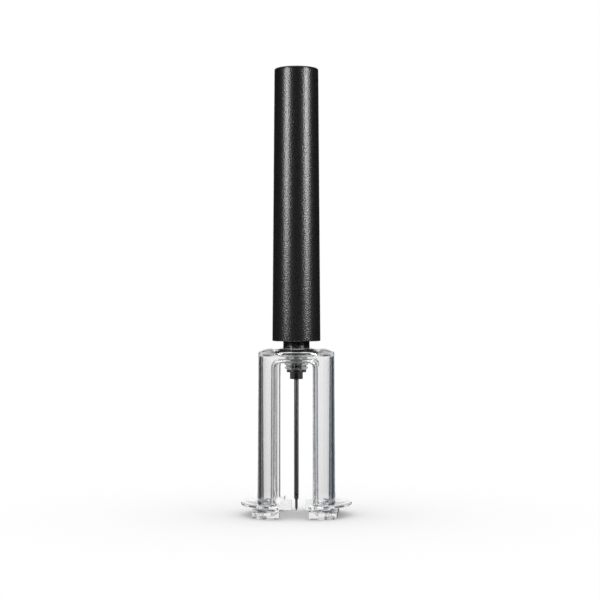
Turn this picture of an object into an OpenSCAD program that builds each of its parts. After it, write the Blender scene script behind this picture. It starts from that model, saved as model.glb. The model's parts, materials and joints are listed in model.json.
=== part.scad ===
// Hand-pumped air pressure wine opener.
// A clear sleeve stands over the bottle's mouth, a hollow needle goes through the cork, and a pump
// inside the long handle blows air down the needle. Four small wheels in the feet cut the foil.
// Millimetres, +Z up. The origin is on the needle's axis, at the level that the feet stand on.

/* [Overall] */
// Height of the whole opener, from the feet to the top of the handle
total_h = 214.5; // [190:0.5:260]
// Height of the clear sleeve's top above the feet
sleeve_h = 80; // [66:0.5:98]
// Open neck between the sleeve's top and the handle's lower end
neck_gap = 3.3; // [2:0.1:6]

/* [Handle] */
// Diameter of the handle at its lower end
handle_d = 23.1; // [20:0.1:30]
// Diameter of the handle at its top
handle_top_d = 21.1; // [19.5:0.1:28]
// Wall of the handle at its top, where it is thinnest
handle_wall = 1.9; // [1.2:0.1:2.4]
// Thickness of the cap's visible disc
cap_t = 1.4; // [1:0.1:3]
// Rounding of the cap's edge
cap_edge = 1.1; // [0.3:0.1:1.3]
// Depth of the cap's skirt inside the handle
cap_skirt = 5.6; // [3:0.1:7]
// Wall of the cap's skirt
cap_skirt_wall = 1.6; // [1:0.1:2.2]
// Depth from the handle's top to the web that holds the rod
web_depth = 9.6; // [9:0.1:12]
// Thickness of the web
web_t = 3; // [2:0.1:5]
// Length of the guide bush in the handle's lower end
bush_len = 10; // [6:0.5:20]
// How far the bush sits up inside the handle
bush_inset = 0.8; // [0:0.1:2]

/* [Pump] */
// Outer diameter of the pump barrel, which shows as the black neck
barrel_d = 12.7; // [10.4:0.1:15.4]
// Wall of the pump barrel
barrel_wall = 1.1; // [0.8:0.1:1.4]
// Diameter of the piston rod
rod_d = 4; // [3.6:0.1:5]
// Diameter of the rod's stepped ends
rod_end_d = 3; // [2.4:0.1:3.4]
// Height of the piston
piston_h = 8; // [6:0.5:14]
// Height of the piston's ring groove
groove_h = 2.2; // [1.6:0.1:3]
// Depth of the piston's ring groove
groove_depth = 1.3; // [0.8:0.1:1.5]
// Depth of the gland's plug inside the barrel
gland_plug = 6; // [3:0.5:12]
// Thickness of the gland's collar on top of the barrel
gland_collar_t = 1.5; // [1:0.1:3]
// How far the gland's collar stands out past the barrel
gland_lip = 0.9; // [0.3:0.1:1]
// Thickness of the rubber bumper under the gland
bumper_t = 2; // [1:0.1:4]
// Free height between the gland and the handle's web
web_space = 2.5; // [1:0.1:6]

/* [Valve] */
// Diameter of the valve ball
ball_d = 4; // [3.2:0.1:4.6]
// Side gap round the valve ball in its chamber
ball_side_gap = 0.6; // [0.3:0.1:0.8]
// Lift of the valve ball
ball_lift = 0.8; // [0.4:0.1:1.2]
// Diameter of the air passages
air_d = 2.4; // [1.4:0.1:2.6]
// Length of the valve's spring when the valve is shut
spring_len = 3.4; // [2.6:0.1:5]
// Wire of the valve's spring
spring_wire = 0.35; // [0.25:0.05:0.5]
// Turns of the valve's spring
spring_turns = 4; // [3:1:5]

/* [Sleeve] */
// Bore that goes over the bottle's mouth
bore_d = 34; // [28:0.5:41]
// Wall of the sleeve at its lower end
wall_low = 1.75; // [1.4:0.05:3]
// Wall of the sleeve at its top
wall_top = 1.3; // [1.1:0.05:2.8]
// Thickness of the sleeve's roof
roof_t = 2.8; // [2.4:0.1:4]
// Width of the sloping shoulder round the roof
shoulder_w = 7.7; // [4:0.1:8]
// Height of the sloping shoulder
shoulder_h = 2.4; // [1:0.1:2.8]
// Half of the angle that each slot opens
slot_half_deg = 30; // [20:1:36]
// Wall left between the slots' top and the roof's underside
slot_top_wall = 4; // [3:0.1:8]
// Radius of the slots' top corners
slot_corner_r = 2.2; // [1:0.1:3]
// Diameter over the rings of the boss under the roof
boss_d = 11.5; // [9:0.1:13]
// Length of the boss below the roof
boss_len = 7.6; // [6:0.1:12]
// Number of rings on the boss
boss_rings = 4; // [2:1:6]
// Depth of the grooves between the rings
boss_groove = 0.75; // [0.3:0.05:1]
// How far the washer in the roof reaches out past the barrel
washer_lip = 1.2; // [0.6:0.1:2]
// Thickness of the washer in the roof
washer_t = 1.5; // [1:0.1:1.6]
// How deep the washer's top lies in the roof
washer_sink = 0.1; // [0:0.05:0.3]

/* [Needle] */
// Diameter of the needle
needle_d = 2.2; // [1.8:0.1:2.6]
// Diameter of the needle's shank inside its holder
needle_shank_d = 1.8; // [1.5:0.1:1.9]
// Bore of the needle
needle_bore_d = 1; // [0.6:0.1:1.2]
// Height of the needle's point above the feet's level
tip_z = 2; // [1:0.1:6]
// Length of the thinner nose below the air hole
nose_len = 6; // [4:0.1:9]
// Diameter of the nose
nose_d = 1.3; // [0.9:0.1:1.6]
// Height of the air hole above the nose
air_hole_up = 1.6; // [1.2:0.1:4]
// Diameter of the needle's holder
hub_d = 6.2; // [5:0.1:8]
// Height of the needle's holder below its collar
hub_h = 3.3; // [2.5:0.1:6]
// Diameter of the holder's collar
hub_collar_d = 9.4; // [7.5:0.1:11]
// Thickness of the holder's collar
hub_collar_t = 1.2; // [0.8:0.1:2]
// Diameter of the holder's spigot inside the boss
hub_spigot_d = 3.4; // [3.2:0.1:4.4]
// Thickness of the seal on top of the spigot
seal_t = 1; // [0.8:0.1:1.6]

/* [Feet and foil cutter] */
// How far the flange reaches out past the sleeve
flange_reach = 7.8; // [6:0.1:10]
// Thickness of the flange
flange_t = 1.4; // [1.2:0.1:3]
// Gap between the two halves of the flange, front and back
leg_gap = 14; // [10:0.5:15]
// Gap between the heels of the two feet at the back
heel_gap = 6.8; // [4:0.1:9]
// Thickness of the feet's plates
foot_t = 3; // [2:0.1:4]
// How far the feet reach out past the bore at the sides
foot_side = 3; // [2.6:0.1:6]
// How far the feet reach out past the bore to the front and back
foot_front = 2; // [1.6:0.1:6]
// Radius of the feet's outer corners
foot_corner_r = 3; // [1:0.1:4]
// Width of the posts between a foot and the flange
post_w = 2; // [1.4:0.1:2.2]
// Length of the side posts
side_post_len = 11; // [6:0.5:12]
// Diameter of the cutter wheels
wheel_d = 9.2; // [7.6:0.1:10]
// How far the wheels' edges reach into the bore
wheel_bite = 0.6; // [0.3:0.1:1.2]
// Thickness of a wheel at its hub
wheel_t = 1.7; // [1.2:0.1:2]
// Diameter of a wheel's hub
wheel_hub_d = 4.6; // [4:0.1:5.4]
// Margin between the wheels' edges and the front and back of the feet
wheel_margin = 0.1; // [0:0.05:0.5]
// Diameter of the wheels' pins
pin_d = 2; // [1.6:0.1:2.4]
// Depth of a pin in the flange
pin_in_flange = 0.9; // [0.6:0.1:1]
// Depth of a pin in the foot
pin_in_foot = 2; // [1:0.1:2.6]

/* [Fits] */
// Radial running clearance of sliding and turning fits
run_gap = 0.05; // [0.02:0.01:0.1]
// End clearance between pieces that turn or rest against each other
end_gap = 0.2; // [0.1:0.05:0.4]

/* [Hidden] */
$fn = 96;

// Cuts run past the solid that they cut by this much
past = 1;

// Sleeve
bore_r = bore_d / 2;
flange_z0 = foot_t + wheel_t + 2 * end_gap;
flange_z1 = flange_z0 + flange_t;
low_r = bore_r + wall_low;
top_r = bore_r + wall_top;
flange_r = low_r + flange_reach;
roof_z0 = sleeve_h - roof_t;
shoulder_steps = 8;
slot_z1 = roof_z0 - slot_top_wall;
slot_corner_deg = slot_half_deg - asin(slot_corner_r / (bore_r + wall_low / 2));
boss_r = boss_d / 2;
boss_z0 = roof_z0 - boss_len;
ring_pitch = boss_len / boss_rings;
washer_z1 = sleeve_h - washer_sink;
washer_z0 = washer_z1 - washer_t;
air_r = air_d / 2;
washer_r = barrel_d / 2 + washer_lip;

// Needle and its holder
needle_r = needle_d / 2;
shank_r = needle_shank_d / 2;
nose_r = nose_d / 2;
nose_z1 = tip_z + nose_len;
air_hole_z = nose_z1 + air_hole_up;
air_hole_r = needle_bore_d / 2;
point_len = 1.5;
point_r = 0.12;
nose_taper = 0.7;
hub_z1 = boss_z0;
hub_z0 = hub_z1 - hub_collar_t - hub_h;
seal_z1 = roof_z0 - 0.4;
spigot_z1 = seal_z1 - seal_t;

// Valve, inside the lower end of the barrel
barrel_r = barrel_d / 2;
barrel_in_r = barrel_r - barrel_wall;
barrel_z0 = washer_z1;
housing_spigot_r = barrel_in_r - 0.75;
housing_z0 = washer_z0 - 0.8;
ball_r = ball_d / 2;
chamber_r = ball_r + ball_side_gap;
chamber_z0 = barrel_z0 + 0.6;
// the seat is a cone at 45 degrees, and the ball stops just short of it
seat_gap = 0.03;
seat_z0 = chamber_z0 + spring_len + ball_r - 0.15;
inlet_r = air_d / 2;
seat_h = chamber_r - inlet_r;
ball_z = seat_z0 + chamber_r - (ball_r + seat_gap) * sqrt(2);
housing_z1 = seat_z0 + seat_h + 1.6;
spring_z1 = ball_z - sqrt(pow(ball_r, 2) - pow(ball_r * 0.75, 2)) - spring_wire / 2 - 0.05;
spring_r = ball_r * 0.75;

// Pump
piston_r = barrel_in_r - 2 * run_gap;
piston_z0 = housing_z1 + end_gap;
piston_z1 = piston_z0 + piston_h;
screw_head_r = rod_end_d / 2 + 1.1;
screw_head_t = 1.2;
screw_shank_r = 0.8;
screw_shank_len = 6;
screw_sink = screw_head_t + 2 * end_gap;
rod_r = rod_d / 2;
rod_end_r = rod_end_d / 2;
rod_z0 = piston_z1 + run_gap;
rod_end_z0 = piston_z0 + screw_sink;
web_z0 = total_h - web_depth - web_t;
web_z1 = web_z0 + web_t;
barrel_z1 = web_z0 - web_space - gland_collar_t;
bumper_z1 = barrel_z1 - gland_plug;

// Handle
handle_z0 = sleeve_h + neck_gap;
handle_z1 = total_h - cap_t;
handle_in_r = handle_top_d / 2 - handle_wall;
bush_z0 = handle_z0 + bush_inset;
lead_in = 0.4;
rod_washer_r = 4;
rod_washer_t = 0.8;
nut_af = 5.5;
nut_h = 2.4;
rod_past_nut = 0.9;

// Feet and foil cutter
foot_x = bore_r + foot_side;
foot_y = bore_r + foot_front;
wheel_r = wheel_d / 2;
wheel_centre_r = bore_r + wheel_r - wheel_bite;
wheel_z0 = foot_t + end_gap;
wheel_edge_t = 0.1;
wheel_deg = asin((foot_y - wheel_margin - wheel_r) / wheel_centre_r);
wheel_places = [wheel_deg, 180 - wheel_deg, 180 + wheel_deg, 360 - wheel_deg];
pin_r = pin_d / 2;
pin_z0 = foot_t - pin_in_foot;
pin_z1 = flange_z0 + pin_in_flange;

// A tube standing on z0
module tube(z0, z1, r_out, r_in) {
    translate([0, 0, z0]) difference() {
        cylinder(h = z1 - z0, r = r_out);
        translate([0, 0, -past]) cylinder(h = z1 - z0 + 2 * past, r = r_in);
    }
}

// A round bar standing on z0
module bar(z0, z1, r) {
    translate([0, 0, z0]) cylinder(h = z1 - z0, r = r);
}

// What is drawn, at the place of wheel number i
module at_wheel(i) {
    place = wheel_places[i];
    translate([wheel_centre_r * cos(place), wheel_centre_r * sin(place), 0]) children();
}

// ---- Handle ----

module handle_shell() {
    color("#232325") difference() {
        translate([0, 0, handle_z0])
            cylinder(h = handle_z1 - handle_z0, r1 = handle_d / 2, r2 = handle_top_d / 2);
        bar(handle_z0 - past, web_z0, handle_in_r);
        bar(web_z1, handle_z1 + past, handle_in_r);
        bar(web_z0 - past, web_z1 + past, rod_end_r);
    }
}

module handle_cap() {
    disc_r = handle_top_d / 2;
    color("#18181a") {
        translate([0, 0, handle_z1]) rotate_extrude() {
            square([disc_r - cap_edge, cap_t]);
            square([disc_r, cap_t - cap_edge]);
            translate([disc_r - cap_edge, cap_t - cap_edge]) intersection() {
                circle(r = cap_edge);
                square(cap_edge);
            }
        }
        tube(handle_z1 - cap_skirt, handle_z1, handle_in_r, handle_in_r - cap_skirt_wall);
    }
}

module guide_bush() {
    color("#d9d6cc") difference() {
        bar(bush_z0, bush_z0 + bush_len, handle_in_r);
        bar(bush_z0 - past, bush_z0 + bush_len + past, barrel_r + run_gap);
        translate([0, 0, bush_z0 - 0.01])
            cylinder(h = lead_in, r1 = barrel_r + run_gap + lead_in, r2 = barrel_r + run_gap);
    }
}

module piston_rod() {
    color("#b9bcc0") difference() {
        union() {
            bar(rod_z0, web_z0, rod_r);
            bar(rod_end_z0, rod_z0 + past, rod_end_r);
            bar(web_z0 - past, web_z1 + rod_washer_t + nut_h + rod_past_nut, rod_end_r);
        }
        bar(rod_end_z0 - past, rod_end_z0 + screw_shank_len, screw_shank_r);
    }
}

module rod_washer() {
    color("#a9acb0") tube(web_z1, web_z1 + rod_washer_t, rod_washer_r, rod_end_r);
}

module rod_nut() {
    nut_z0 = web_z1 + rod_washer_t;
    color("#a9acb0") difference() {
        translate([0, 0, nut_z0]) cylinder(h = nut_h, r = nut_af / 2 / cos(30), $fn = 6);
        bar(nut_z0 - past, nut_z0 + nut_h + past, rod_end_r);
    }
}

// ---- Piston ----

module piston() {
    groove_z0 = piston_z0 + (piston_h - groove_h) / 2 + screw_sink / 2;
    color("#e6e4dc") difference() {
        bar(piston_z0, piston_z1, piston_r);
        bar(piston_z0 - past, piston_z1 + past, rod_end_r + run_gap);
        bar(piston_z0 - past, piston_z0 + screw_sink, screw_head_r + end_gap);
        tube(groove_z0, groove_z0 + groove_h, piston_r + past, piston_r - groove_depth);
    }
}

module piston_seal() {
    groove_z0 = piston_z0 + (piston_h - groove_h) / 2 + screw_sink / 2;
    cord_r = min(groove_h, groove_depth + run_gap) / 2;
    color("#141414") translate([0, 0, groove_z0 + groove_h / 2]) rotate_extrude()
        translate([barrel_in_r - run_gap - cord_r, 0]) circle(r = cord_r, $fn = 48);
}

module piston_screw() {
    head_z0 = rod_end_z0 - screw_head_t;
    color("#a9acb0") {
        bar(head_z0, rod_end_z0, screw_head_r);
        bar(head_z0, rod_end_z0 + screw_shank_len, screw_shank_r);
    }
}

// ---- Barrel and valve ----

module pump_barrel() {
    color("#1b1b1d") tube(barrel_z0, barrel_z1, barrel_r, barrel_in_r);
}

module barrel_gland() {
    vent_r = 0.6;
    vent_at = (rod_r + barrel_in_r) / 2;
    color("#e6e4dc") difference() {
        union() {
            bar(barrel_z1, barrel_z1 + gland_collar_t, barrel_r + gland_lip);
            bar(bumper_z1, barrel_z1 + gland_collar_t, barrel_in_r);
        }
        bar(bumper_z1 - past, barrel_z1 + gland_collar_t + past, rod_r + run_gap);
        translate([vent_at, 0, 0])
            bar(bumper_z1 - past, barrel_z1 + gland_collar_t + past, vent_r);
    }
}

module stop_bumper() {
    color("#141414")
        tube(bumper_z1 - bumper_t, bumper_z1, barrel_in_r - run_gap, rod_r + run_gap + end_gap);
}

module valve_housing() {
    color("#2a2a2c") difference() {
        union() {
            bar(barrel_z0, housing_z1, barrel_in_r);
            bar(housing_z0, barrel_z0 + past, housing_spigot_r);
        }
        bar(housing_z0 - past, chamber_z0 + past, air_r);
        bar(chamber_z0, seat_z0, chamber_r);
        translate([0, 0, seat_z0]) cylinder(h = seat_h, r1 = chamber_r, r2 = inlet_r);
        bar(seat_z0, housing_z1 + past, inlet_r);
    }
}

module valve_ball() {
    color("#c4c7ca") translate([0, 0, ball_z]) sphere(r = ball_r);
}

// A wire wound on a helix: rings of points along the coil, joined by quads
module valve_spring() {
    per_turn = 20;
    sides = 8;
    wire_r = spring_wire / 2;
    coil_z0 = chamber_z0 + wire_r + 0.02;
    rise = spring_z1 - coil_z0;
    rings = per_turn * spring_turns;
    points = [for (i = [0:rings], j = [0:sides - 1])
        let (a = 360 * i / per_turn, b = 360 * j / sides, r = spring_r + wire_r * cos(b))
        [r * cos(a), r * sin(a), coil_z0 + rise * i / rings + wire_r * sin(b)]];
    walls = [for (i = [0:rings - 1], j = [0:sides - 1])
        let (k = (j + 1) % sides)
        [i * sides + j, i * sides + k, (i + 1) * sides + k, (i + 1) * sides + j]];
    start = [[for (j = [sides - 1:-1:0]) j]];
    end = [[for (j = [0:sides - 1]) rings * sides + j]];
    color("#b9bcc0") polyhedron(points, concat(walls, start, end), convexity = 10);
}

module seat_washer() {
    color("#161616") tube(washer_z0, washer_z1, washer_r, housing_spigot_r);
}

// ---- Clear sleeve ----

// Outline of half the shoulder: an ellipse quarter in short steps
function shoulder_points() = [for (i = [0:shoulder_steps])
    let (a = 90 * i / shoulder_steps)
    [top_r - shoulder_w + shoulder_w * cos(a), sleeve_h - shoulder_h + shoulder_h * sin(a)]];

// One slot through the wall, opening towards +X from the flange up, with round top corners
module slot_cut() {
    reach = low_r + past;
    hole_r = slot_corner_r;
    module wedge(half_deg, z1) {
        translate([0, 0, flange_z1]) linear_extrude(height = z1 - flange_z1) polygon([
            [0, 0],
            [reach, -reach * tan(half_deg)],
            [reach, reach * tan(half_deg)]
        ]);
    }
    wedge(slot_half_deg, slot_z1 - hole_r);
    wedge(slot_corner_deg, slot_z1);
    for (side = [-1, 1])
        rotate([0, 0, side * slot_corner_deg]) translate([bore_r / 2, 0, slot_z1 - hole_r])
            rotate([0, 90, 0]) cylinder(h = reach, r = hole_r, $fn = 48);
}

module boss() {
    root_r = boss_r - boss_groove;
    profile = [for (i = [0:boss_rings - 1], p = [[root_r, 0.08], [boss_r, 0.36],
        [boss_r, 0.64], [root_r, 0.92]]) [p[0], boss_z0 + (i + p[1]) * ring_pitch]];
    rotate_extrude() polygon(concat(
        [[0, boss_z0], [root_r, boss_z0]], profile, [[root_r, roof_z0 + past], [0, roof_z0 + past]]));
}

module sleeve() {
    color("#dfe4e8", 0.35) difference() {
        union() {
            difference() {
                union() {
                    rotate_extrude() polygon(concat([[0, flange_z0], [low_r, flange_z0]],
                        shoulder_points(), [[0, sleeve_h]]));
                    bar(flange_z0, flange_z1, flange_r);
                }
                bar(flange_z0 - past, roof_z0, bore_r);
                for (turn = [90, 270]) rotate([0, 0, turn]) slot_cut();
            }
            boss();
        }
        // the gap between the two legs, through the flange only
        translate([-leg_gap / 2, -flange_r - past, flange_z0 - past])
            cube([leg_gap, 2 * (flange_r + past), flange_t + past]);
        bar(washer_z0, sleeve_h + past, washer_r);
        bar(housing_z0, sleeve_h, housing_spigot_r);
        bar(seal_z1 - past, sleeve_h, air_r);
        bar(boss_z0 - past, seal_z1, hub_spigot_d / 2);
        for (i = [0:3]) at_wheel(i) bar(flange_z0 - past, pin_z1, pin_r);
    }
}

// ---- Needle ----

module needle_hub() {
    color("#151516") difference() {
        union() {
            bar(hub_z0, hub_z1, hub_d / 2);
            bar(hub_z1 - hub_collar_t, hub_z1, hub_collar_d / 2);
            bar(hub_z1 - past, spigot_z1, hub_spigot_d / 2);
        }
        bar(hub_z0 - past, spigot_z1 + past, shank_r);
    }
}

module needle_seal() {
    color("#161616") tube(spigot_z1, seal_z1, hub_spigot_d / 2, shank_r);
}

module needle() {
    color("#55585c") difference() {
        union() {
            bar(nose_z1, hub_z0, needle_r);
            bar(hub_z0 - past, seal_z1, shank_r);
            translate([0, 0, nose_z1 - nose_taper])
                cylinder(h = nose_taper, r1 = nose_r, r2 = needle_r);
            bar(tip_z + point_len, nose_z1, nose_r);
            translate([0, 0, tip_z]) cylinder(h = point_len, r1 = point_r, r2 = nose_r);
        }
        bar(air_hole_z, seal_z1 + past, needle_bore_d / 2);
        translate([0, 0, air_hole_z]) rotate([90, 0, 0])
            cylinder(h = needle_d, r = air_hole_r, $fn = 48);
    }
}

// ---- Feet and foil cutter ----

// The right foot: a plate with its posts. side is 1 for +X, -1 for -X
module foot(side) {
    post_z1 = flange_z0;
    // plan of the whole foot pair, with round corners
    module plan() {
        for (x = [-1, 1], y = [-1, 1])
            translate([x * (foot_x - foot_corner_r), y * (foot_y - foot_corner_r)])
                circle(r = foot_corner_r);
        square([2 * foot_x, 2 * (foot_y - foot_corner_r)], center = true);
        square([2 * (foot_x - foot_corner_r), 2 * foot_y], center = true);
    }
    // what of the plan lies between two distances from the middle, on this side
    module band(x0, x1, y0, y1) {
        translate([side > 0 ? x0 : -x1, y0]) square([x1 - x0, y1 - y0]);
    }
    difference() {
        union() {
            linear_extrude(height = foot_t) intersection() {
                plan();
                union() {
                    band(leg_gap / 2, foot_x, -foot_y, foot_y);
                    band(heel_gap / 2, foot_x, 0, foot_y);
                }
            }
            translate([0, 0, foot_t / 2]) linear_extrude(height = post_z1 - foot_t / 2) intersection() {
                plan();
                union() {
                    band(leg_gap / 2, leg_gap / 2 + post_w, -foot_y, 0);
                    band(heel_gap / 2, leg_gap / 2 + post_w, 0, foot_y);
                    band(bore_r, foot_x, -side_post_len / 2, side_post_len / 2);
                }
            }
        }
        bar(-past, flange_z0 + past, bore_r);
        for (i = [0:3]) at_wheel(i) bar(pin_z0, flange_z0, pin_r);
    }
}

module left_foot() {
    color("#dfe4e8", 0.35) foot(-1);
}

module right_foot() {
    color("#dfe4e8", 0.35) foot(1);
}

module cutter_wheel(i) {
    mid_z = wheel_z0 + wheel_t / 2;
    bore = pin_r + run_gap;
    color("#b9bcc0") at_wheel(i) translate([0, 0, mid_z]) rotate_extrude() polygon([
        [bore, -wheel_t / 2],
        [wheel_hub_d / 2, -wheel_t / 2],
        [wheel_hub_d / 2 + 0.2, -wheel_t / 4],
        [wheel_r, -wheel_edge_t / 2],
        [wheel_r, wheel_edge_t / 2],
        [wheel_hub_d / 2 + 0.2, wheel_t / 4],
        [wheel_hub_d / 2, wheel_t / 2],
        [bore, wheel_t / 2]
    ]);
}

module wheel_pin(i) {
    color("#a9acb0") at_wheel(i) bar(pin_z0, pin_z1, pin_r);
}

handle_shell();
handle_cap();
guide_bush();
piston_rod();
rod_washer();
rod_nut();
piston();
piston_seal();
piston_screw();
pump_barrel();
barrel_gland();
stop_bumper();
valve_housing();
valve_ball();
valve_spring();
seat_washer();
sleeve();
needle_hub();
needle_seal();
needle();
left_foot();
right_foot();
cutter_wheel(0);  // cutter_wheel_1
cutter_wheel(1);  // cutter_wheel_2
cutter_wheel(2);  // cutter_wheel_3
cutter_wheel(3);  // cutter_wheel_4
wheel_pin(0);  // wheel_pin_1
wheel_pin(1);  // wheel_pin_2
wheel_pin(2);  // wheel_pin_3
wheel_pin(3);  // wheel_pin_4
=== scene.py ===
"""Looks of a hand-pumped air pressure wine opener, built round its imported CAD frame.

Every piece is a surface worked out from the frame's own boxes: profiles turned about the pump's axis,
grids of two parameters for the clear sleeve, and outlines drawn upwards for the feet. Metres, +Z up.
"""

import json
import math

import bmesh
import bpy
import numpy as np
from bpy.props import FloatProperty, IntProperty, PointerProperty, StringProperty
from mathutils import Matrix, Vector


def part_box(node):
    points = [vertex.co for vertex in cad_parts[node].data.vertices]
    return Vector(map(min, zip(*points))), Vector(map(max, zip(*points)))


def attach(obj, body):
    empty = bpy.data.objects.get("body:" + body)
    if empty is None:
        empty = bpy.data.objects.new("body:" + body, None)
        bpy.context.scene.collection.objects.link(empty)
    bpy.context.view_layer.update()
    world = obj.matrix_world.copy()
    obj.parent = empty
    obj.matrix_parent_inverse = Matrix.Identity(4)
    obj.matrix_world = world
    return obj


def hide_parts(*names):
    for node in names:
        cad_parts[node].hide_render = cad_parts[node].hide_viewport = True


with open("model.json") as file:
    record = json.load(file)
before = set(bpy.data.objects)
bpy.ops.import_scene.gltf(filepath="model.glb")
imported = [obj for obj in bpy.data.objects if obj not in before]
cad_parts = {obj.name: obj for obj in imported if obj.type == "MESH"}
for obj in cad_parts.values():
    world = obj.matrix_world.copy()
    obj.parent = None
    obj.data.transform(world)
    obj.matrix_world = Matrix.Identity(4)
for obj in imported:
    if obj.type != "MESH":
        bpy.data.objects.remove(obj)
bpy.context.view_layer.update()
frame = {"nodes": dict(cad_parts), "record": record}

bl_info = {
    "name": "Air Pressure Wine Opener",
    "version": (1, 0, 0),
    "blender": (4, 5, 0),
    "location": "View3D > Sidebar > Wine Opener",
    "description": "Builds the pieces and finishes of a hand-pumped wine opener",
    "category": "Add Mesh",
}

MM = 0.001


# ---- What the frame gives ----


def low(part):
    """Lowest height of a CAD node."""
    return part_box(part)[0].z


def top(part):
    """Highest height of a CAD node."""
    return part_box(part)[1].z


def radius(part):
    """Half the width of a CAD node that is turned about the pump's axis."""
    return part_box(part)[1].x


def wheel_axis(number):
    """Middle of cutter wheel number 1 to 4, in plan."""
    lo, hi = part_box(f"cutter_wheel_{number}")
    return (lo.x + hi.x) / 2, (lo.y + hi.y) / 2


# ---- Properties ----


def length(name, description, default):
    """A property that is a length in metres."""
    return FloatProperty(name=name, description=description, default=default, unit="LENGTH")


def angle(name, description, degrees):
    """A property that is an angle."""
    turn = math.radians(degrees)
    return FloatProperty(name=name, description=description, default=turn, subtype="ANGLE")


def amount(name, description, default):
    """A property that is a plain number."""
    return FloatProperty(name=name, description=description, default=default)


def colour(name, description, default):
    """A property that is a colour as an sRGB hex value."""
    return StringProperty(name=name, description=description, default=default)


class OpenerSizes(bpy.types.PropertyGroup):
    """Sizes that the frame's boxes don't give."""

    segments: IntProperty(
        name="Segments", description="Steps round a turned piece", default=128, min=24
    )
    grip_top_radius: length("Grip top radius", "Radius of the grip at its top", 10.55 * MM)
    grip_bore: length("Grip bore", "Radius inside the grip", 8.65 * MM)
    grip_edge: length("Grip edge", "Rounding of the grip's lower rim", 0.5 * MM)
    cap_edge: length("Cap edge", "Depth of the cap's rounded rim", 1.2 * MM)
    cap_groove: length("Cap groove", "Depth of the parting line under the cap", 0.12 * MM)
    cap_skirt: length("Cap skirt", "Wall of the cap's skirt inside the grip", 1.6 * MM)
    rod_end: length("Rod end", "Radius of the rod's thin end, in the web", 1.5 * MM)
    web: length("Web", "Thickness of the grip's web that holds the rod", 3 * MM)
    bore: length("Sleeve bore", "Radius inside the sleeve", 17 * MM)
    wall_low: length("Lower wall", "Sleeve wall at the flange", 1.75 * MM)
    wall_top: length("Upper wall", "Sleeve wall under the shoulder", 1.3 * MM)
    roof: length("Roof", "Thickness of the sleeve's roof", 2.8 * MM)
    shoulder_width: length("Shoulder width", "Width of the sloping shoulder", 7.7 * MM)
    shoulder_height: length("Shoulder height", "Height of the sloping shoulder", 2.4 * MM)
    slot_half_angle: angle("Slot half angle", "Half of the angle that each slot opens", 30)
    slot_corner: length("Slot corner", "Radius of the slots' top corners", 2.2 * MM)
    slot_edge_width: length(
        "Slot edge width", "Outer rounding along the slots, across the surface", 1 * MM
    )
    slot_edge_depth: length(
        "Slot edge depth", "Outer rounding along the slots, into the wall", 0.8 * MM
    )
    slot_groove: length("Slot groove", "Depth of the groove that runs beside each slot", 0.32 * MM)
    slot_groove_width: length("Slot groove width", "Width of the groove beside each slot", 1.2 * MM)
    slot_inner_edge: length("Slot inner edge", "Inner rounding along the slots", 0.35 * MM)
    slot_top_wall: length("Wall over slot", "Wall between the slots and the roof", 4 * MM)
    flange: length("Flange", "Thickness of the flange", 1.4 * MM)
    leg_gap: length("Leg gap", "Gap between the two halves of the flange", 14 * MM)
    boss_radius: length("Boss radius", "Radius over the boss's thread", 5.75 * MM)
    boss_groove: length("Ring depth", "Depth between the boss's rings", 0.95 * MM)
    boss_rings: IntProperty(name="Boss rings", description="Rings on the boss", default=4, min=1)
    roof_fillet: length("Roof fillet", "Rounding under the roof", 1.2 * MM)
    housing_spigot: length("Housing spigot", "Radius of the valve housing's spigot", 4.5 * MM)
    air_hole: length("Air passage", "Radius of the passage through the roof", 1.2 * MM)
    foot_plate: length("Foot plate", "Thickness of the feet's plates", 3 * MM)
    foot_corner: length("Foot corner", "Radius of the feet's outer corners", 3 * MM)
    post_width: length("Post width", "Width of the posts at the gap", 2 * MM)
    side_post_length: length("Side post length", "Length of the posts at the sides", 11 * MM)
    pin_radius: length("Pin radius", "Radius of the wheels' pins", 1 * MM)
    wheel_hub: length("Wheel hub", "Radius of a wheel's hub", 2.3 * MM)
    needle_radius: length("Needle radius", "Radius of the needle", 1.1 * MM)
    shank_radius: length("Shank radius", "Radius of the needle inside its holder", 0.9 * MM)
    needle_bore: length("Needle bore", "Radius of the needle's bore and air hole", 0.5 * MM)
    air_hole_up: length("Air hole height", "Height of the air hole above the nose", 1.6 * MM)
    hub_radius: length("Holder radius", "Radius of the needle's holder", 3.1 * MM)
    hub_height: length("Holder height", "Height of the holder up to the boss", 4.5 * MM)
    hub_collar: length("Holder collar", "Thickness of the holder's collar", 1.2 * MM)
    hub_spigot: length("Holder spigot", "Radius of the holder's spigot", 1.7 * MM)
    nose_radius: length("Nose radius", "Radius of the needle's thin nose", 0.65 * MM)
    nose_length: length("Nose length", "Length of the needle's thin nose", 6 * MM)


class OpenerColours(bpy.types.PropertyGroup):
    """Colours of the finishes, as sRGB hex values."""

    grip: colour("Grip", "Blasted black ABS", "#09090a")
    # painted glints: the pale flecks on the grip stand for the peaks of its grain catching the light
    grip_glint: colour("Grip grain", "Peaks of its grain", "#1c1c1d")
    cap: colour("Cap", "Gloss black ABS", "#101012")
    nylon: colour("Nylon", "Moulded black nylon", "#0c0c0d")
    clear: colour("Clear", "Clear polycarbonate", "#f9f9f9")
    steel: colour("Steel", "Bright stainless steel", "#c9cccf")
    coated: colour("Needle", "Dark coated steel", "#2b2c2e")
    rubber: colour("Rubber", "Nitrile rubber", "#111112")
    acetal: colour("Acetal", "Natural acetal", "#e4e1d6")
    shade: colour("Clear shade", "What is left of a lamp's light behind a clear wall", "#f4f4f5")
    film: colour("Clear film", "What a dull surface sees of a clear wall", "#c4c4c4")
    floor: colour("Floor", "White laminate", "#f4f4f4")
    left_flag: colour("Left flag", "Black felt", "#3f3f40")
    right_flag: colour("Right flag", "Blue-black felt", "#3c4b59")
    back_card: colour("Back card", "White card", "#ffffff")


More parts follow.
